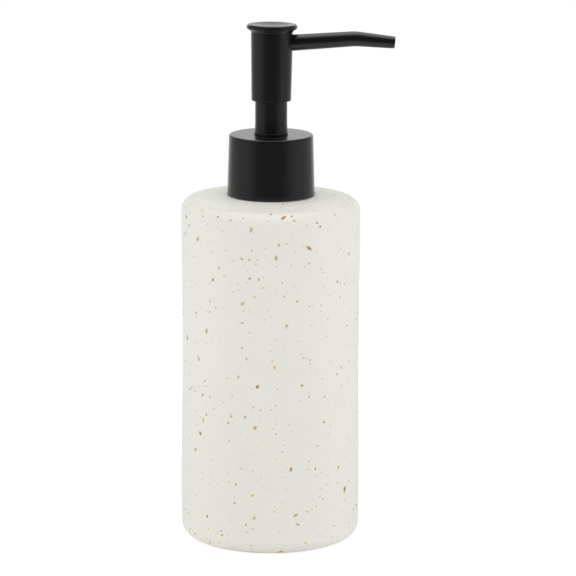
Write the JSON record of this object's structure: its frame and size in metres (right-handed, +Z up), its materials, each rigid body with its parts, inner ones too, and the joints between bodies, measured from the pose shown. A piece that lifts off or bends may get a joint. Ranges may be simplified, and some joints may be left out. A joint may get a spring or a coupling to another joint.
{
  "type": "soap pump dispenser",
  "caption": "Round speckled ceramic soap bottle with a black screw-on lotion pump: press-down head with a bent spout, return spring, ball valves and dip tube.",
  "frame": {"origin": "the bottle's axis on the plane of its flat base", "axes": "+Z up along the bottle's axis, +X the way the spout points at rest, +Y to the back"},
  "size_m": [0.0776, 0.0658, 0.19],
  "materials": {
    "stoneware": "matte",
    "black_plastic": "satin",
    "white_plastic": "satin",
    "clear_plastic": "gloss",
    "seal_foam": "matte",
    "spring_steel": "satin",
    "valve_steel": "polished"
  },
  "bodies": {
    "vessel": {"bottle": "stoneware", "neck_insert": "white_plastic"},
    "pump_engine": {"neck_gasket": "seal_foam", "stem_guide": "black_plastic", "pump_housing": "white_plastic", "ball_cage": "white_plastic", "dip_tube": "clear_plastic", "return_spring": "spring_steel"},
    "closure": {"collar": "black_plastic"},
    "foot_valve": {"inlet_ball": "valve_steel"},
    "plunger": {"piston": "white_plastic", "piston_plug": "white_plastic", "piston_stem": "white_plastic"},
    "outlet_valve": {"outlet_ball": "valve_steel"},
    "head": {"head_core": "white_plastic", "head_shell": "black_plastic", "head_cap": "black_plastic", "spout": "black_plastic"}
  },
  "joints": [
    {"name": "engine_lift", "type": "slide", "parent": "vessel", "child": "pump_engine", "axis": [0, 0, 1], "range_m": [0, 0.0084]},
    {"name": "collar_turn", "type": "hinge", "parent": "pump_engine", "child": "closure", "pos_m": [0, 0, 0.1281], "axis": [0, 0, 1], "range_deg": [0, 720]},
    {"name": "foot_valve_lift", "type": "slide", "parent": "pump_engine", "child": "foot_valve", "axis": [0, 0, 1], "range_m": [0, 0.0012]},
    {"name": "pump_press", "type": "slide", "parent": "pump_engine", "child": "plunger", "axis": [0, 0, 1], "range_m": [-0.0115, 0], "stiffness_N_per_m": 800, "springref_m": 0.0025, "deforming": ["return_spring"]},
    {"name": "outlet_valve_lift", "type": "slide", "parent": "plunger", "child": "outlet_valve", "axis": [0, 0, 1], "range_m": [0, 0.001]},
    {"name": "head_swivel", "type": "hinge", "parent": "plunger", "child": "head", "pos_m": [0, 0, 0.1789], "axis": [0, 0, 1], "continuous": true}
  ],
  "couplings": [
    {"joint": "collar_turn", "follows": "engine_lift", "rad_per_m": 1496}
  ]
}
